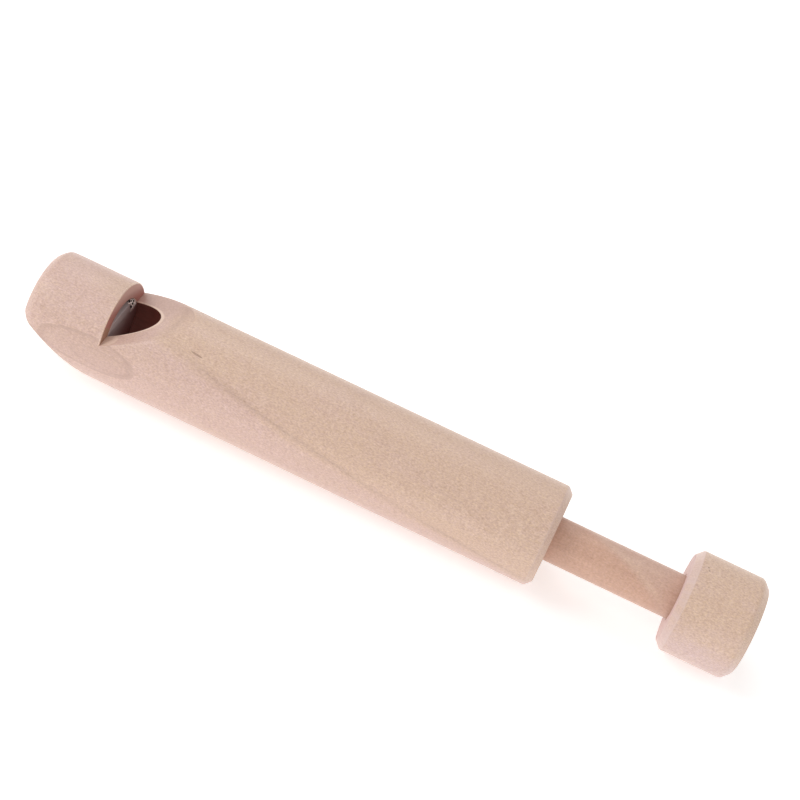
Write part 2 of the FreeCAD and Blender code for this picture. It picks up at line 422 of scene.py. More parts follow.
def barrel_grids(s):
    """The barrel's outside and bore, cut by the step, the ramp and the bevel.

    A column runs along the barrel at one turn from the top, which changes a little from end to end, so that
    the column at the window's foot is also the one at the bevel's corner. On each column the cuts are where
    the planes meet the turned surface. The flat faces are ruled between the outside's and the bore's columns.
    """
    radius, bore = s.radius, s.bore
    foot = radius - s.notch
    ramp, lean = math.tan(s.ramp), math.tan(s.step_lean)
    slope = (2 * radius - s.beak_thickness) / s.beak
    x_step, x_beak = s.mouth + s.step, s.mouth + s.beak
    # How far the finer rows of faces reach from either end, on the outside and in the bore
    front_zone, rear_zone, way_in = 4.2 * MM, 8 * MM, 1.5 * MM
    overrun, least_shank, hair, crisp = 20 * MM, 2 * MM, 0.001 * MM, 0.08 * MM

    def step_at(z):
        return x_step - lean * (z - foot)

    def ramp_at(z):
        return x_step + (z - foot) / ramp

    def beak_at(z):
        return x_beak - (z + radius) / slope

    # The outline of the mouth end, by distance from where its rounding starts on the flat end
    rim = radius - s.mouth_chamfer - s.mouth_rounding * CHAMFER_TRIM
    mouth = outline_of([(s.mouth, rim - hair, 0), (s.mouth, radius - s.mouth_chamfer, s.mouth_rounding),
                        (s.mouth + s.mouth_chamfer, radius, s.mouth_rounding),
                        (x_beak + overrun, radius, 0)], arc_steps=24)[1:]
    run = np.concatenate([[0], np.cumsum(np.hypot(*np.diff(mouth, axis=0).T))])
    samples = 6000
    fine = np.linspace(0, run[-1], samples)
    fine_x, fine_r = np.interp(fine, run, mouth[:, 0]), np.interp(fine, run, mouth[:, 1])

    # Columns: the same numbers round the outside and the bore, at the turns that the corners need
    z_mouth_cut = slope * s.beak - radius
    upper, lower = int(s.columns * UPPER_SHARE), int(s.columns * LOWER_SHARE)

    def columns(corner):
        above, below = np.linspace(0, corner, upper + 1), np.linspace(corner, math.pi, lower + 1)
        half = np.concatenate([above, below[1:]])
        return np.concatenate([-half[:0:-1], half])

    out_front, in_front = columns(math.acos(z_mouth_cut / rim)), columns(math.acos(z_mouth_cut / bore))
    out_back, in_back = columns(math.acos(foot / radius)), columns(math.acos(foot / bore))
    number = np.arange(len(out_front))
    middle = len(out_front) // 2
    over, under = np.abs(number - middle) <= upper, np.abs(number - middle) >= upper
    window = slice(middle - upper, middle + upper + 1)
    sides = (slice(0, middle - upper + 1), slice(middle + upper, None))

    # The outside at the mouth end starts at the rim, or further on where the bevel cuts it
    clear = fine_r[:, None] * np.cos(out_front) - (-radius + slope * (x_beak - fine_x[:, None]))
    cut = np.where(over, 0, (clear < 0).sum(0))
    low = np.maximum(cut - 1, 0)
    nothing = 1e-12
    gain = np.maximum(clear[cut, number] - clear[low, number], nothing)
    share = np.where(cut > 0, -clear[low, number] / gain, 0)
    start = np.where(cut > 0, fine[low] + np.clip(share, 0, 1) * (fine[1] - fine[0]), 0)
    distance = start + shares(20) * front_zone
    front_x, front_r = np.interp(distance, fine, fine_x), np.interp(distance, fine, fine_r)
    front = about_axis(front_x, front_r, out_front)
    seam = np.maximum(x_step, front_x[-1] + least_shank)
    out_step = np.where(over, step_at(radius * np.cos(out_back)), seam)
    out_ramp = np.where(over, ramp_at(radius * np.cos(out_back)), seam)
    t = shares(6)[1:]
    shank = about_axis(between(front_x[-1], out_step, t), radius, between(out_front, out_back, t))
    outside_mouth = np.concatenate([front, shank])

    # The outside behind the window, the rear end and the bore's way in
    rear = outline_of([(s.rear - rear_zone, radius, 0), (s.rear - s.rear_chamfer, radius, s.rear_rounding),
                       (s.rear, radius - s.rear_chamfer, s.rear_rounding),
                       (s.rear, bore + s.bore_chamfer, crisp), (s.rear - s.bore_chamfer, bore, crisp),
                       (s.rear - way_in, bore, 0)], arc_steps=6)
    behind = about_axis(between(out_ramp, rear[0, 0], shares(24)), radius, out_back)
    end = about_axis(rear[1:, :1], rear[1:, 1:], out_back)
    outside_rear = np.concatenate([behind, end])
    by_row = np.concatenate([np.full(len(behind) - 1, OUTSIDE), END * across_grain(rear)])

    # The bore, from the rear to the lip, and from the step to the mouth
    in_step = np.where(over, step_at(bore * np.cos(in_back)), x_step)
    in_ramp = np.where(over, ramp_at(bore * np.cos(in_back)), x_step)
    t = shares(20)
    bore_rear = about_axis(between(rear[-1, 0], in_ramp, t), bore, between(out_back, in_back, t))
    bore_start = np.where(under, beak_at(bore * np.cos(in_front)), s.mouth)
    t = shares(8)
    bore_mouth = about_axis(between(in_step, bore_start, t), bore, between(in_back, in_front, t))

    # The flat faces, each between an edge of the outside and an edge of the bore
    rim_edge, mouth_edge = outside_mouth[0], bore_mouth[-1]
    return [grid(outside_mouth, OUTSIDE), grid(outside_rear, by_row), grid(bore_rear, BORE),
            grid(bore_mouth, BORE), grid(ruled(rim_edge[window], mouth_edge[window], 4), END),
            *(grid(ruled(rim_edge[side], mouth_edge[side], 5), BEVEL) for side in sides),
            grid(ruled(outside_mouth[-1][window], bore_mouth[0][window], 6), STEP),
            grid(ruled(outside_rear[0][window], bore_rear[-1][window], 7, first=0.24), RAMP)]


def block_grids(s):
    """The windway block: level rectangles stacked from the bottom of the bore to the flat top.

    At each height z the sides are a chord of the bore apart, the front is on the bevel or the mouth end, and
    the back is on the step. The patches are the sides, the front, the back and the top.
    """
    radius, bore = s.radius, s.bore - s.block_play
    foot, top = radius - s.notch, s.bore - s.windway
    slope = (2 * radius - s.beak_thickness) / s.beak
    crease = slope * s.beak - radius
    corner = [math.acos(-value / bore) for value in (crease, foot, top)]
    turn = np.concatenate([np.linspace(0, corner[0], 40), np.linspace(corner[0], corner[1], 6)[1:],
                           np.linspace(corner[1], corner[2], 10)[1:]])
    z, half = -bore * np.cos(turn), bore * np.sin(turn)
    front = np.maximum(s.mouth, s.mouth + s.beak - (z + radius) / slope)
    back = s.mouth + s.step - math.tan(s.step_lean) * np.maximum(z - foot, 0)

    def rows(x, y):
        x, y, level = np.broadcast_arrays(x, y, radius + z[:, None])
        return np.stack([x, y, level], -1)

    along, across = np.linspace(0, 1, 9), np.linspace(-1, 1, 17)
    x_rows = between(front[:, None], back[:, None], along)
    lid = np.stack(np.broadcast_arrays(x_rows[-1][:, None], half[-1] * across, radius + top), -1)
    return [grid(rows(x_rows, -half[:, None]), 0), grid(rows(x_rows, half[:, None]), 0),
            grid(rows(front[:, None], half[:, None] * across), 1),
            grid(rows(back[:, None], half[:, None] * across), 2), grid(lid, 3)]


def strand_grids(s):
    """Torn fibres at the end of the windway: strands that are thick in the middle and drawn out at the ends.

    Each starts on the top of the bore, at a turn from the top, arches out of the windway and hangs down. Its
    path is a line from its start to its end, with half a sine wave out of the windway and a full one aside.
    """
    chance = np.random.default_rng(11)
    count, t = 6, shares(17)
    turn = np.linspace(math.radians(17), math.radians(44), count) + chance.uniform(-0.03, 0.03, count)
    inside, rooted = 0.98 * s.bore, 0.35 * MM
    start = np.stack([np.full(count, s.mouth + s.step - rooted), inside * np.sin(turn),
                      s.radius + inside * np.cos(turn)], -1)
    drop = chance.uniform(0.8, 4.4, count)
    forward = chance.uniform(0.35, 0.75, count)
    aside = chance.uniform(-1.1, 0.9, count)
    end = start + np.stack([forward, aside, -drop], -1) * MM
    out = chance.uniform(0.2, 0.6, count) * MM
    sway = chance.uniform(0.4, 0.9, count) * MM * np.where(np.arange(count) % 2, 1, -1)
    thick = chance.uniform(0.09, 0.14, count) * MM
    around = np.linspace(0, 2 * math.pi, 9)
    bow, full_wave = np.sin(math.pi * t), np.sin(2 * math.pi * t)
    grids = []
    for number in range(count):
        wave = np.concatenate([out[number] * bow, sway[number] * full_wave, 0.5 * out[number] * bow], 1)
        path = between(start[number], end[number], t) + wave
        ahead = np.gradient(path, axis=0)
        side = np.cross(ahead, [0.9, 0.3, 0.2])
        side /= np.linalg.norm(side, axis=1)[:, None]
        other = np.cross(ahead / np.linalg.norm(ahead, axis=1)[:, None], side)
        size = thick[number] * np.sqrt(np.clip(bow, 0, 1))
        ring = np.cos(around)[:, None] * side[:, None] + 0.6 * np.sin(around)[:, None] * other[:, None]
        grids.append(grid(path[:, None] + size[:, None] * ring, 0))
    return grids


# Finishes


class Wiring:
    """Short ways to add nodes to one tree. A value that isn't a socket is set on the node's own socket."""

    def __init__(self, tree):
        self.tree = tree

    def join(self, value, socket):
        """Links a socket or sets a value. A colour of three values is made opaque."""
        if isinstance(value, bpy.types.NodeSocket):
            self.tree.links.new(value, socket)
        elif socket.type == "RGBA" and len(value) == 3:
            socket.default_value = (*value, 1.0)
        else:
            socket.default_value = value

    def put(self, sockets, values):
        for label, value in values.items():
            self.join(value, sockets[label])

    def node(self, kind, values, **settings):
        """A new node of a kind, with its settings, and its inputs by label or number. Gives its outputs."""
        node = self.tree.nodes.new(f"ShaderNode{kind}")
        for name, setting in settings.items():
            setattr(node, name, setting)
        self.put(node.inputs, values)
        return node.outputs

    def math(self, operation, *values, clamp=False):
        return self.node("Math", dict(enumerate(values)), operation=operation, use_clamp=clamp)[0]

    def plus(self, one, other, clamp=False):
        return self.math("ADD", one, other, clamp=clamp)

    def minus(self, one, other):
        return self.math("SUBTRACT", one, other)

    def times(self, one, other, clamp=False):
        return self.math("MULTIPLY", one, other, clamp=clamp)

    def spread(self, noise, amount):
        """A noise about 0.5 made one about 0 that reaches half the amount either way."""
        return self.times(self.minus(noise, 0.5), amount)

    def vector(self, operation, *values):
        outputs = self.node("VectorMath", dict(enumerate(values)), operation=operation)
        return outputs["Value" if operation in ("DOT_PRODUCT", "LENGTH") else "Vector"]

    def bright(self, shade, base):
        """The base colour made lighter or darker: every channel times the shade."""
        return self.node("VectorMath", {0: base, "Scale": shade}, operation="SCALE")["Vector"]

    def off_axis(self, where):
        """The distance from the X axis."""
        return self.vector("LENGTH", self.vector("MULTIPLY", where, (0.0, 1.0, 1.0)))

    def noise(self, vector, stretch, detail=2.0, roughness=0.5, distortion=0.0):
        """A noise of about 1 unit across, at the place times the stretch."""
        place_ = self.vector("MULTIPLY", vector, stretch)
        return self.node("TexNoise", {"Vector": place_, "Scale": 1.0, "Detail": detail,
                                      "Roughness": roughness, "Distortion": distortion})["Fac"]

    def cells(self, vector, stretch):
        """The distance to the nearest of scattered points, and that point's own colour, drawn by chance."""
        cell = self.node("TexVoronoi", {"Vector": self.vector("MULTIPLY", vector, stretch), "Scale": 1.0})
        return cell["Distance"], cell["Color"]

    def fit(self, value, low, high, to_low=0.0, to_high=1.0, smooth=True):
        return self.node("MapRange", {"Value": value, "From Min": low, "From Max": high, "To Min": to_low,
                                      "To Max": to_high},
                         interpolation_type="SMOOTHSTEP" if smooth else "LINEAR")["Result"]

    def mix(self, share, one, other):
        """A mix of two colours."""
        return self.node("Mix", {0: share, 6: one, 7: other}, data_type="RGBA")[2]

    def group(self, name, values):
        """Places the shader node group of that name, which is built once."""
        return self.node("Group", values, node_tree=bpy.data.node_groups.get(name) or GROUPS[name]())


def new_group(name, inputs, outputs):
    """An empty shader node group: its wiring, what its inputs give, and the sockets that its outputs take.

    Inputs are (kind, name, default), and outputs are (kind, name).
    """
    group = bpy.data.node_groups.new(name, "ShaderNodeTree")
    for kind, label, default in inputs:
        socket = group.interface.new_socket(label, in_out="INPUT", socket_type=f"NodeSocket{kind}")
        if default is not None:
            socket.default_value = default
    for kind, label in outputs:
        group.interface.new_socket(label, in_out="OUTPUT", socket_type=f"NodeSocket{kind}")
    start, end = group.nodes.new("NodeGroupInput"), group.nodes.new("NodeGroupOutput")
    return Wiring(group), start.outputs, end.inputs


SURFACE = [("Color", "Color"), ("Float", "Roughness"), ("Float", "Height")]


def grain_group():
    """Long grain of a pale close-grained wood, in millimetres with the grain along X.

    Growth layers are planes across Ring Direction, bent by slow noise. The wood goes from the second colour
    to the pale one over the Blend below Ring Start, where the soft late line is strongest. Over them lie slow
    streaks, fine fibres, specks, ripples across the grain in patches, a yellow to pink mottling, small flecks
    and a few pores. Light and shade change green and blue more than red, as they do in pale wood.
    """
    w, p, end = new_group("long_grain", [
        ("Vector", "Place", None), ("Vector", "Ring Direction", (0.158, 0.0, 1.0)),
        ("Float", "Ring Spacing", 9.0), ("Float", "Ring Start", 0.0), ("Float", "Ring Strength", 0.5),
        ("Float", "Waver", 1.0), ("Float", "Blend", 2.5), ("Color", "Pale", None), ("Color", "Second", None),
        ("Color", "Line", None), ("Color", "Fleck", None), ("Float", "Fleck Share", 0.3),
        ("Float", "Ripple", 0.13), ("Float", "Streak", 0.06), ("Float", "Speckle", 0.4)], SURFACE)
    at = p["Place"]
    bend = w.plus(w.spread(w.noise(at, (0.018, 0.06, 0.06), 1.0), 3.0),
                  w.spread(w.noise(at, (0.1, 0.4, 0.4), 2.0, 0.6), 0.8))
    across = w.plus(w.vector("DOT_PRODUCT", at, p["Ring Direction"]), w.times(bend, p["Waver"]))
    past_start = w.minus(across, p["Ring Start"])
    layer = w.math("DIVIDE", past_start, p["Ring Spacing"])
    second = w.fit(w.math("DIVIDE", past_start, p["Blend"]), -1.0, 0.1, 1.0, 0.0)
    nearest = w.math("ROUND", layer)
    away = w.math("ABSOLUTE", w.times(w.minus(layer, nearest), p["Ring Spacing"]))
    main = w.fit(w.math("ABSOLUTE", nearest), 0.0, 1.0, 1.0, 0.3)
    broken = w.fit(w.noise(at, (0.05, 0.22, 0.22)), 0.3, 0.6, 0.35, 1.0)
    late = w.plus(w.times(w.fit(away, 0.3, 0.05), 0.25), w.times(w.fit(away, 1.3, 0.1), 0.4))
    late = w.times(w.times(late, main), w.times(broken, p["Ring Strength"]))
    cloud = w.noise(at, (0.04, 0.16, 0.16), 3.0, 0.55)
    second = w.plus(second, w.fit(cloud, 0.3, 0.7, -0.3, 0.3), clamp=True)
    base = w.mix(late, w.mix(second, p["Pale"], p["Second"]), p["Line"])

    streak = w.noise(at, (0.035, 0.8, 0.8), 3.0, 0.6)
    fibre = w.noise(at, (0.35, 5.0, 5.0), 2.0, 0.6)
    speck = w.noise(at, (1.7, 3.2, 3.2), 2.0, 0.7)
    ripple = w.noise(at, (1.25, 0.4, 0.4), 2.0, 0.55, 0.8)
    ripple_patch = w.fit(w.noise(at, (0.05, 0.13, 0.13)), 0.38, 0.62, 0.2, 1.0)
    shade = w.plus(w.spread(streak, p["Streak"]), w.spread(fibre, 0.1))
    shade = w.plus(shade, w.spread(speck, w.times(p["Speckle"], 2.2)))
    shade = w.plus(shade, w.spread(ripple, w.times(ripple_patch, w.times(p["Ripple"], 2.0))))
    mottle = w.spread(w.noise(at, (1.6, 2.8, 2.8), 2.0, 0.6), w.times(p["Speckle"], 0.9))
    for amount, channels in ((shade, (0.88, 1.26, 1.38)), (mottle, (0.15, 0.25, 1.4))):
        base = w.vector("MULTIPLY", base, w.vector("ADD", (1.0, 1.0, 1.0), w.bright(amount, channels)))

    near, drawn = w.cells(at, (0.75, 2.6, 2.6))
    chances = w.node("SeparateColor", {0: drawn})
    fleck = w.times(w.fit(near, 0.4, 0.1), w.fit(chances[0], 0.4, 0.95))
    base = w.mix(w.times(fleck, p["Fleck Share"]), base, p["Fleck"])
    near, drawn = w.cells(at, (0.5, 1.3, 1.3))
    chances = w.node("SeparateColor", {0: drawn})
    pore = w.times(w.fit(near, 0.12, 0.04), w.math("GREATER_THAN", chances[1], 0.93))
    rough = w.plus(w.plus(0.5, w.spread(fibre, 0.3)), w.times(fleck, -0.06))
    height = w.plus(w.plus(w.times(fibre, 0.6), w.times(ripple, 0.3)), w.times(speck, 0.3))
    height = w.minus(w.minus(height, w.times(fleck, 0.2)), pore)
    w.put(end, {"Color": w.mix(w.times(pore, 0.45), base, p["Line"]), "Roughness": rough, "Height": height})
    return w.tree


def cut_group():
    """End grain, in millimetres: curved growth layers seen from their ends, saw marks and many pores."""
    w, p, end = new_group("end_grain", [
        ("Vector", "Place", None), ("Color", "Pale", None), ("Color", "Dark", None),
        ("Float", "Ring Spacing", 2.2), ("Float", "Contrast", 0.5)], SURFACE)
    at = p["Place"]
    far = w.off_axis(w.vector("ADD", at, (0.0, 9.0, 24.0)))
    wander = w.times(w.noise(at, (0.2, 0.3, 0.3)), 3.0)
    late = w.fit(w.math("FRACT", w.math("DIVIDE", w.plus(far, wander), p["Ring Spacing"])), 0.35, 1.0)
    grit = w.noise(at, (2.5, 5.0, 5.0), 3.0, 0.65)
    saw = w.noise(at, (0.3, 1.1, 7.0), 2.0, 0.6)
    near, _ = w.cells(at, (0.6, 5.5, 5.5))
    pore = w.fit(near, 0.32, 0.12)
    dark = w.plus(w.plus(w.times(late, 0.55), w.spread(grit, 0.9)), w.times(pore, 0.45))
    dark = w.times(w.plus(dark, w.spread(saw, 0.8)), p["Contrast"], clamp=True)
    height = w.minus(w.plus(grit, w.times(saw, 0.6)), w.times(pore, 0.6))
    w.put(end, {"Color": w.mix(dark, p["Pale"], p["Dark"]), "Roughness": w.plus(0.66, w.spread(grit, 0.3)),
                "Height": height})
    return w.tree


def lens_group():
    """A long lens about the origin of Place, 1 long and wide, with a darker rim. Its edge wavers."""
    w, p, end = new_group("grazed_layer", [("Vector", "Place", None), ("Float", "Waver", 0.2)],
                          [("Float", "Inside"), ("Float", "Rim")])
    wander = w.spread(w.noise(p["Place"], (1.3, 2.1, 1.6), 3.0, 0.6), p["Waver"])
    far = w.plus(w.vector("LENGTH", p["Place"]), wander)
    rim = w.times(w.fit(far, 0.80, 0.97), w.fit(far, 1.04, 0.98))
    w.put(end, {"Inside": w.fit(far, 1.0, 0.85), "Rim": rim})
    return w.tree


def turned_end_group():
    """Where a turned surface runs over the fibres' ends: past Edge along X, with streaks to the axis; masks
    for painted reflection and a painted highlight along Edge.
    """
    w, p, end = new_group("turned_end_sheen", [
        ("Vector", "Place", None), ("Float", "Edge", 0.0), ("Float", "Side", 1.0)],
        [("Float", "Share"), ("Float", "Rim"), ("Float", "Streak")])
    past = w.times(w.minus(w.vector("DOT_PRODUCT", p["Place"], (1.0, 0.0, 0.0)), p["Edge"]), p["Side"])
    outward = w.vector("NORMALIZE", w.vector("MULTIPLY", p["Place"], (0.0, 1.0, 1.0)))
    w.put(end, {"Share": w.fit(past, -0.12, 0.12), "Rim": w.fit(w.math("ABSOLUTE", past), 0.3, 0.0),
                "Streak": w.noise(outward, (9.0, 9.0, 9.0), 3.0, 0.7)})
    return w.tree


GROUPS = {"long_grain": grain_group, "end_grain": cut_group, "grazed_layer": lens_group,
          "turned_end_sheen": turned_end_group}


def place_in_mm(w, shift=(0.0, 0.0, -AXIS), turn=0.0):
    """Object coordinates in millimetres, turned about Z and shifted, by default to the bore's axis."""
    coordinates = w.node("TexCoord", {})["Object"]
    scale = (1 / MM, 1 / MM, 1 / MM)
    return w.node("Mapping", {"Vector": coordinates, "Scale": scale, "Rotation": (0.0, 0.0, turn),
                              "Location": shift})["Vector"]


def new_material(name):
    material = bpy.data.materials.new(name)
    material.use_nodes = True
    shader = material.node_tree.nodes["Principled BSDF"]
    return material, shader, Wiring(material.node_tree)


def finish(w, shader, surface, bump, reach, shine=0.5, sheen=0.0):
    """Joins a surface's colour and roughness to the shader, and its height through a Bump node."""
    normal = w.node("Bump", {"Strength": bump, "Distance": reach, "Height": surface["Height"]})["Normal"]
    w.put(shader.inputs, {"Base Color": surface["Color"], "Roughness": surface["Roughness"],
                          "Normal": normal, "Specular IOR Level": shine, "Sheen Weight": sheen,
                          "Sheen Roughness": 0.35})


def marked(w, shown, *names):
    """Marks in the wood over the colour so far, each a long lens about its place."""
    for mark in (MARKS[name] for name in names):
        turn = math.radians(mark.turn)
        shift = Matrix.Rotation(turn, 3, "Z") @ (Vector(mark.at) + Vector((0.0, 0.0, AXIS)))
        where = place_in_mm(w, tuple(-shift), turn)
        lens = w.group("grazed_layer", {"Place": w.vector("DIVIDE", where, mark.reach)})
        for part, share in (("Inside", mark.inside), ("Rim", mark.rim)):
            if share:
                tint = getattr(bpy.context.scene.whistle_colours, mark.colour)
                shown = w.mix(w.times(lens[part], share), shown, tint)
    return shown


def painted_end_sheen(w, shown, edge, side, share, rim):
    """Painted reflection on the turned end of a piece, past an edge along X to one side, with a painted
    highlight along the edge, over the colour so far.
    """
    tint = bpy.context.scene.whistle_colours.turned_end_sheen
    end = w.group("turned_end_sheen", {"Place": place_in_mm(w), "Edge": edge / MM, "Side": side})
    streaked = w.fit(end["Streak"], 0.25, 0.75, 0.4 * share, 1.6 * share)
    shown = w.mix(w.times(end["Share"], streaked, clamp=True), shown, tint)
    return w.mix(w.times(end["Rim"], rim), shown, tint)


def wood(name, pale, second, grain, shift=(0.0, 0.0, -AXIS), line=None, marks=(), over=None):
    """Bare sanded wood with its grain along the bore.

    grain holds values of the long_grain group, by its sockets' names. marks are names in MARKS. over is a
    function that adds to the colour after them.
    """
    c = bpy.context.scene.whistle_colours
    material, shader, w = new_material(name)
    surface = w.group("long_grain", {"Place": place_in_mm(w, shift), "Pale": pale, "Second": second,
                                     "Line": line or c.ring, "Fleck": c.fleck, **grain})
    shown = marked(w, surface["Color"], *marks)
    if over:
        shown = over(w, shown)
    finish(w, shader, {**dict(surface.items()), "Color": shown}, 0.3, 0.05 * MM, shine=1.0, sheen=0.12)
    return material


def cut_wood(name, pale, dark, contrast=0.5, far=None, marks=()):
    """Sawn or drilled wood that shows its end grain.

    far is (colour, direction, from, to): the colour comes in along the direction, between two places in
    millimetres from the bore's axis. marks are names in MARKS.
    """
    material, shader, w = new_material(name)
    where = place_in_mm(w)
    surface = w.group("end_grain", {"Place": where, "Pale": pale, "Dark": dark, "Contrast": contrast})
    shown = surface["Color"]
    if far:
        other, direction, low, high = far
        shown = w.mix(w.fit(w.vector("DOT_PRODUCT", where, direction), low, high, 0.0, 0.8), shown, other)
    shown = marked(w, shown, *marks)
    finish(w, shader, {**dict(surface.items()), "Color": shown}, 0.35, 0.06 * MM, shine=0.3)
    return material


def shades(base, *factors):
    """The base colour times each factor."""
    return [tuple(np.clip(np.array(base[:]) * factor, 0, 1)) for factor in factors]


def plain_rubber(name, base):
    """Soft dull rubber with fine mould grain."""
    material, shader, w = new_material(name)
    where = place_in_mm(w, (0.0, 0.0, 0.0))
    speck = w.noise(where, (3.0, 3.0, 3.0), 3.0, 0.6)
    cloud = w.noise(where, (0.5, 0.5, 0.5))
    lift = w.plus(0.75, w.plus(w.times(speck, 0.3), w.times(cloud, 0.3)))
    finish(w, shader, {"Color": w.bright(lift, base), "Roughness": w.fit(speck, 0.3, 0.7, 0.5, 0.7),
                       "Height": speck}, 0.2, 0.05 * MM)
    return material


def dull_steel(name, base):
    """Plated steel with fine turning marks and a clouded shine."""
    material, shader, w = new_material(name)
    where = place_in_mm(w)
    out = w.node("CombineXYZ", {0: w.off_axis(where)})[0]
    turning = w.noise(out, (14.0, 0.0, 0.0), 2.0, 0.6)
    cloud = w.noise(where, (0.8, 0.8, 0.8), 3.0)
    lift = w.plus(0.8, w.plus(w.times(turning, 0.12), w.times(cloud, 0.25)))
    finish(w, shader, {"Color": w.bright(lift, base), "Roughness": w.fit(cloud, 0.3, 0.7, 0.28, 0.45),
                       "Height": turning}, 0.25, 0.02 * MM)
    shader.inputs["Metallic"].default_value = 1.0
    return material


def seen_as_white(w, seen, mirrored, lit):
    """Strengths for the camera's rays, for rays off shiny or through clear surfaces, and for light."""
    ray = w.node("LightPath", {})
    sent_on = w.math("MAXIMUM", ray["Is Glossy Ray"], ray["Is Transmission Ray"])
    strength = w.fit(sent_on, 0.0, 1.0, lit, mirrored, smooth=False)
    return w.fit(ray["Is Camera Ray"], 0.0, 1.0, strength, seen, smooth=False)


# Operators


class WHISTLE_OT_barrel(bpy.types.Operator):
    """Make the barrel with its window, ramp and bevel"""
    bl_idname = "whistle.barrel"
    bl_label = "Barrel"

    def execute(self, context):
        s, c = context.scene.whistle_barrel, context.scene.whistle_colours
        bore = s.bore / MM

        # painted reflection on the rear chamfer and end, and a painted highlight along its edge
        def rear_end_sheen(w, shown):
            return painted_end_sheen(w, shown, s.rear - s.rear_chamfer, 1.0, 0.12, 0.3)

        def planed(w, shown):
            """Painted shade towards +Y, a painted highlight along the window's thin edge, and painted light
            in a shaded corner.
            """
            where = place_in_mm(w)
            # painted shade: the ramp darker towards +Y
            dull = w.fit(w.vector("DOT_PRODUCT", where, (0.0, 1.0, 0.0)), -2.0, 6.0, 0.08, 0.42)
            # painted highlight along the thin edge where the ramp meets the bore
            lip = w.fit(w.off_axis(where), bore + 0.55, bore + 0.3, 0.0, 0.75)
            return marked(w, w.mix(lip, w.mix(dull, shown, c.ring), c.lip), "ramp_corner_light")

        grain = {"Ring Start": 1.33, "Ring Strength": 0.62}
        outside = wood("barrel_outside", c.pale, c.pink, grain,
                       marks=("grazed_layer", "grazed_core", "dark_streak"), over=rear_end_sheen)
        # painted light: the bore lighter behind the step, where light falls in through the window
        bored = cut_wood("barrel_bore_painted_light", *shades(c.bored, 1.0, 0.62),
                         far=(shades(c.bored, 1.8)[0], (1.0, 0.0, 0.0), -69.0, -60.0))
        end = cut_wood("barrel_end", *shades(c.pale, 0.97, 0.72), contrast=0.45)
        # painted light towards the top of the step, and painted shade in its foot corner
        sawn = cut_wood("barrel_step_light_and_shade", *shades(c.cut, 1.0, 0.66),
                        far=(c.cut_top_lit, (0.0, 0.2, 1.0), 7.0, 11.5), marks=("step_corner_shade_and_scorch",))
        worn = wood("barrel_worn", c.worn, c.worn, grain)
        ramp = wood("barrel_ramp", c.pale, c.pink, grain, over=planed)
        x_step, blend_run = s.mouth + s.step, 10 * MM
        edges = {"worn": {(OUTSIDE, STEP): 1.0, (BORE, STEP): 0.5, (BORE, RAMP): 0.8, (OUTSIDE, BEVEL): 0.5,
                          (BORE, END): 0.5, (END, BEVEL): 0.5},
                 "blended": {(OUTSIDE, RAMP): lambda x: np.clip((x - x_step) / blend_run, 0.15, 1.0)}}
        obj = make_piece("barrel_turned", "barrel_body", barrel_grids(s), ["barrel"],
                         [outside, bored, end, sawn, worn, ramp],
                         {BORE: 1, END: 2, BEVEL: 0, STEP: 3, RAMP: 5}, edges)
        wear(obj, s.worn_edge, material=4, label="worn")
        wear(obj, s.blended_edge, label="blended", segments=6)
        return {"FINISHED"}


class WHISTLE_OT_block(bpy.types.Operator):
    """Make the windway block and the fibres that the saw tore at the windway's end"""
    bl_idname = "whistle.block"
    bl_label = "Windway block"

    def execute(self, context):
        s, c = context.scene.whistle_barrel, context.scene.whistle_colours
        side = wood("block_side", *shades(c.pale, 0.95, 0.85), {"Ring Start": -2.0}, shift=(3.0, 5.0, -AXIS))
        front = cut_wood("block_end", *shades(c.pale, 0.93, 0.66))
        # painted light and shade: the block's end and the windway's floor lighter by the windway and darker
        # further down, with a painted shadow at the windway's end
        back = cut_wood("block_back_light_and_shade", *shades(c.block, 1.05, 0.9),
                        far=(c.block_far_shade, (0.0, 0.704, -0.568), -5.5, 4.0), marks=("windway_gap_shade",))
        lid = cut_wood("block_lid_light_and_shade", *shades(c.block, 0.95, 0.8), marks=("windway_gap_shade",))
        obj = make_piece("windway_block_turned", "barrel_body", block_grids(s),
                         ["windway_block"], [side, front, back, lid], {1: 1, 2: 2, 3: 3})
        cut_edge = 0.03 * MM
        wear(obj, cut_edge, segments=2)
        strands = cut_wood("torn_fibre", *shades(c.fibre, 1.0, 0.75))
        make_piece("torn_fibres", "barrel_body", strand_grids(s), (), [strands], sharp=60)
        return {"FINISHED"}


class WHISTLE_OT_bush(bpy.types.Operator):
    """Make the guide bush in the rear end of the barrel"""
    bl_idname = "whistle.bush"
    bl_label = "Guide bush"

    def execute(self, context):
        s, p, c = context.scene.whistle_barrel, context.scene.whistle_plunger, context.scene.whistle_colours
        front, back, hole, rim, way = bush_low.x, bush_high.x, p.bush_hole, p.bush_rim, p.bush_way
        glue_line = 0.01 * MM
        outer = s.bore - glue_line
        turned("guide_bush_turned", "barrel_body", ["guide_bush"],
               [cut_wood("bush_wood", *shades(c.pale, 0.86, 0.55))],
               [(front, (outer + hole) / 2, 0), (front, outer - rim, SANDED), (front + rim, outer, SANDED),
                (back, outer, SANDED), (back, hole + way, SANDED), (back - way, hole, SANDED),
                (front + way, hole, SANDED), (front, hole + way, SANDED)], arc_steps=4)
        return {"FINISHED"}


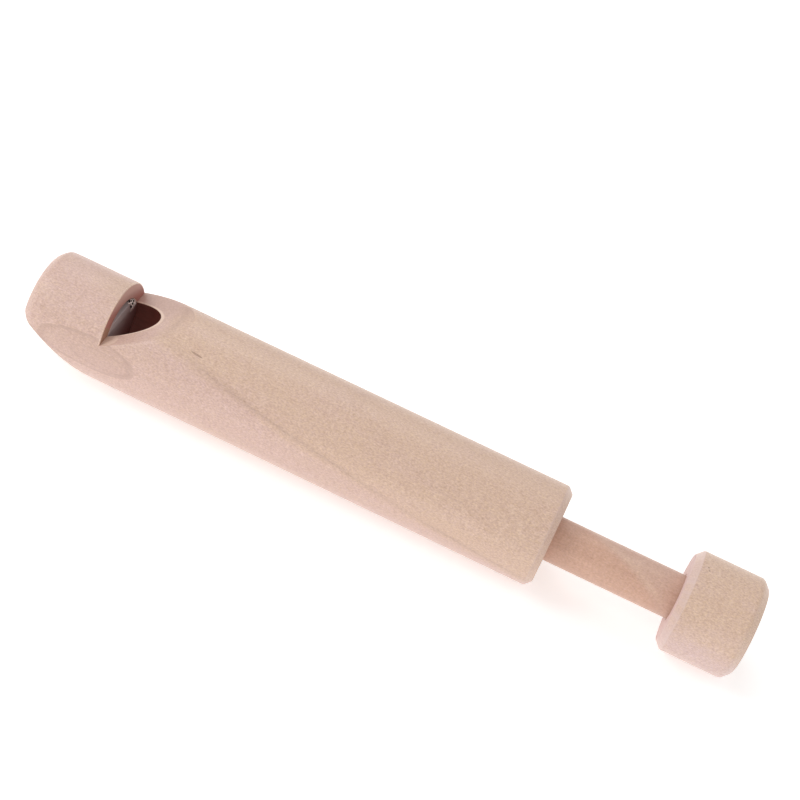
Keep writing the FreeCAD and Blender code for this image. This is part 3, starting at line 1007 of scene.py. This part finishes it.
class WHISTLE_OT_plunger(bpy.types.Operator):
    """Make the slide rod and the knob"""
    bl_idname = "whistle.plunger"
    bl_label = "Rod and knob"

    def execute(self, context):
        p, c = context.scene.whistle_plunger, context.scene.whistle_colours
        shoulder, face, back = head_high.x, p.knob_front, p.knob_back
        by_knob = face / MM

        def painted_knob_shade(w, shown):
            """Painted shade: the rod darker close to the knob, where the knob shades it."""
            along = w.vector("DOT_PRODUCT", place_in_mm(w), (1.0, 0.0, 0.0))
            dull = w.plus(w.fit(along, by_knob - 9.0, by_knob, 0.0, 0.10),
                          w.fit(along, by_knob - 1.6, by_knob, 0.0, 0.16))
            return w.mix(dull, shown, c.mark)

        # painted reflection on the knob's inner chamfer and face, and a painted highlight along its edge
        def inner_end_sheen(w, shown):
            return painted_end_sheen(w, shown, face + p.inner_chamfer, -1.0, 0.5, 0.35)

        rod = wood("rod_grain", c.rod, c.rod_second,
                   {"Ring Direction": (0.394, 0.876, 0.278), "Ring Start": 23.45, "Ring Spacing": 30.0,
                    "Ring Strength": 0.9, "Waver": 0.35, "Streak": 0.3, "Fleck Share": 0.4, "Speckle": 0.26},
                   line=c.flame, over=painted_knob_shade)
        turned("slide_rod_turned", "plunger", ["slide_rod"], [rod],
               [(p.rod_front, p.pilot, 0), (p.rod_front, p.spigot, HANDLED), (shoulder, p.spigot, CRISP),
                (shoulder, p.rod, HANDLED), (p.rod_back - p.rod_chamfer, p.rod, HANDLED),
                (p.rod_back, p.rod - p.rod_chamfer, HANDLED), (p.rod_back, 0, 0), (p.pilot_end, 0, 0),
                (p.pilot_end, p.pilot, CRISP)], arc_steps=6)
        # the knob's lower side takes the second colour, partly a painted reflection
        knob = wood("knob_grain", c.knob, c.knob_low_and_sheen,
                    {"Ring Direction": (0.2, 0.35, 0.9), "Ring Start": 20.5, "Ring Spacing": 40.0,
                     "Ring Strength": 0.08, "Blend": 9.0},
                    shift=(12.0, 3.0, -AXIS), marks=("knob_dot", "second_dot"), over=inner_end_sheen)
        # painted reflection: the knob's inner face lighter and pinker, coming to the pale wood towards the
        # outer end
        end = cut_wood("knob_end_grain_sheen", *shades(c.turned_end_sheen, 1.08, 0.85), contrast=0.4,
                       far=(c.pale, (1.0, 0.0, 0.0), by_knob + 4.0, back / MM - 4.0))
        rounding, hole_end = p.outer_rounding, face + p.knob_hole
        past_hole, face_edge, side_edge, hole_edge = 1.5 * MM, 0.3 * MM, 0.2 * MM, 0.1 * MM
        turned("knob_turned", "plunger", ["knob"], [knob, end],
               [(face, p.rod + past_hole, 0), (face, p.knob - p.inner_chamfer, face_edge),
                (face + p.inner_chamfer, p.knob, side_edge), (back - p.outer_chamfer, p.knob, rounding),
                (back, p.knob - p.outer_chamfer, rounding), (back, 0, 0), (hole_end, 0, 0),
                (hole_end, p.rod, CRISP), (face + p.hole_chamfer, p.rod, hole_edge),
                (face, p.rod + p.hole_chamfer, hole_edge)],
               arc_steps=8, columns=context.scene.whistle_barrel.columns * 3 // 4)
        return {"FINISHED"}


class WHISTLE_OT_piston(bpy.types.Operator):
    """Make the piston's head and seal, and finish its washer and screw"""
    bl_idname = "whistle.piston"
    bl_label = "Piston"

    def execute(self, context):
        p, c = context.scene.whistle_plunger, context.scene.whistle_colours
        front, back, chamfer = head_low.x, head_high.x, p.head_chamfer
        turned("piston_head_turned", "plunger", ["piston_head"],
               [wood("head_grain", *shades(c.pale, 0.9), c.pink, {}, shift=(0.0, 3.0, -AXIS))],
               [(front, (p.spigot + p.head) / 2, 0), (front, p.head - chamfer, SANDED),
                (front + chamfer, p.head, SANDED), (back - chamfer, p.head, SANDED),
                (back, p.head - chamfer, SANDED), (back, p.spigot, CRISP), (front, p.spigot, CRISP)],
               arc_steps=4)
        front, back, hole = seal_low.x, seal_high.x, p.spigot + p.seal_play
        waist = (front + back) / 2
        shoulder, groove, hole_edge = 0.2 * MM, 0.4 * MM, 0.1 * MM
        turned("piston_seal_moulded", "seal_body", ["piston_seal"],
               [plain_rubber("seal_grain", c.seal)],
               [(front, (hole + p.seal) / 2, 0), (front, p.seal, p.seal_rounding),
                (waist - p.waist_half, p.seal, shoulder), (waist, p.seal - p.waist_depth, groove),
                (waist + p.waist_half, p.seal, shoulder), (back, p.seal, p.seal_rounding),
                (back, hole, hole_edge), (front, hole, hole_edge)], arc_steps=5)
        steel = dull_steel("piston_steel", c.steel)
        for name in ("piston_washer", "piston_screw"):
            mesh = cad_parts[name].data
            mesh.materials.clear()
            mesh.materials.append(steel)
        return {"FINISHED"}


class WHISTLE_OT_stage(bpy.types.Operator):
    """Make the floor, the lamps, the plain surroundings and the camera"""
    bl_idname = "whistle.stage"
    bl_label = "Stage"

    def execute(self, context):
        scene, c = context.scene, context.scene.whistle_colours
        side = np.array([-FLOOR_HALF, FLOOR_HALF])
        x, y = np.meshgrid(side, side, indexing="ij")
        mesh = bpy.data.meshes.new("floor")
        points, quads, _ = grid(np.stack([x, y, np.zeros_like(x)], -1), 0)
        mesh.from_pydata(points.tolist(), [], quads[:, ::-1].tolist())
        floor = bpy.data.objects.new("floor", mesh)
        scene.collection.objects.link(floor)
        material, shader, w = new_material("floor_white")
        w.put(shader.inputs, {"Base Color": c.floor, "Roughness": 0.9, "Specular IOR Level": 0.0,
                              "Emission Color": (1.0, 1.0, 1.0),
                              "Emission Strength": seen_as_white(w, *FLOOR_SHINES)})
        mesh.materials.append(material)

        world = bpy.data.worlds.new("surroundings")
        scene.world = world
        world.use_nodes = True
        w = Wiring(world.node_tree)
        w.put(world.node_tree.nodes["Background"].inputs,
              {"Color": (1.0, 1.0, 1.0), "Strength": seen_as_white(w, *SURROUNDINGS_SHINE)})

        middle = Vector((0, 0, scene.whistle_barrel.radius))
        for name, (spot, power) in LAMPS.items():
            lamp = bpy.data.lights.new(name, "AREA")
            lamp.shape, lamp.size, lamp.energy = "DISK", LAMP_SIZE, power
            obj = bpy.data.objects.new(name, lamp)
            obj.location = spot
            obj.rotation_mode = "QUATERNION"
            obj.rotation_quaternion = (middle - Vector(spot)).to_track_quat("-Z", "Y")
            scene.collection.objects.link(obj)

        camera = bpy.data.cameras.new("camera")
        camera.sensor_width, camera.lens = SENSOR, LENS
        camera.clip_start, camera.clip_end = 0.01, 10.0
        obj = bpy.data.objects.new("camera", camera)
        obj.matrix_world = camera_place(scene.whistle_barrel)
        scene.collection.objects.link(obj)
        scene.camera = obj
        scene.view_settings.view_transform = "Standard"
        return {"FINISHED"}


def camera_place(s):
    """The camera that sees the barrel's rear end where the photograph has it.

    The bore's direction in the view has a bearing in the picture and a tilt away from the camera, and the
    window's direction is turned about it by the roll.
    """
    bearing, tilt, roll = (math.radians(value) for value in (BEARING, TILT, ROLL))
    flat = math.cos(tilt)
    along = np.array([math.cos(bearing) * flat, math.sin(bearing) * flat, -math.sin(tilt)])
    level = np.array([math.sin(bearing), -math.cos(bearing), 0.0])
    third = np.cross(along, level)
    upward = math.cos(roll) * third + math.sin(roll) * level
    sideways = math.cos(roll) * level - math.sin(roll) * third
    view = np.array([along, sideways, upward])
    centre, focal = (PICTURE - 1) / 2, LENS / SENSOR * PICTURE
    spot = np.array([*(np.array(REAR_PIXEL) - centre) / focal, 1.0]) * REAR_DISTANCE
    matrix = np.eye(4)
    matrix[:3, :3] = np.stack([view[:, 0], -view[:, 1], -view[:, 2]], -1)
    matrix[:3, 3] = np.array([s.rear, 0.0, s.radius]) - view @ spot
    return Matrix(matrix.tolist())


class WHISTLE_PT_panel(bpy.types.Panel):
    """Lists the pieces of the whistle and the sizes and colours that shape them"""
    bl_idname = "WHISTLE_PT_panel"
    bl_label = "Slide whistle"
    bl_space_type = "VIEW_3D"
    bl_region_type = "UI"
    bl_category = "Whistle"

    def draw(self, context):
        for operator in OPERATORS:
            self.layout.operator(operator.bl_idname)
        for name in SETTINGS:
            group = getattr(context.scene, name)
            column = self.layout.column(align=True)
            for key in group.__annotations__:
                column.prop(group, key)


OPERATORS = (WHISTLE_OT_barrel, WHISTLE_OT_block, WHISTLE_OT_bush, WHISTLE_OT_plunger, WHISTLE_OT_piston,
             WHISTLE_OT_stage)
SETTINGS = {"whistle_barrel": WhistleBarrelSizes, "whistle_plunger": WhistlePlungerSizes,
            "whistle_colours": WhistleColours}


def register():
    for one in (*SETTINGS.values(), *OPERATORS, WHISTLE_PT_panel):
        bpy.utils.register_class(one)
    for name, group in SETTINGS.items():
        setattr(bpy.types.Scene, name, PointerProperty(type=group))


def unregister():
    for name in SETTINGS:
        delattr(bpy.types.Scene, name)
    for one in reversed((*SETTINGS.values(), *OPERATORS, WHISTLE_PT_panel)):
        bpy.utils.unregister_class(one)


def main():
    register()
    for operator in OPERATORS:
        group, name = operator.bl_idname.split(".")
        getattr(getattr(bpy.ops, group), name)()
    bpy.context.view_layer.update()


if __name__ == "__main__":
    main()
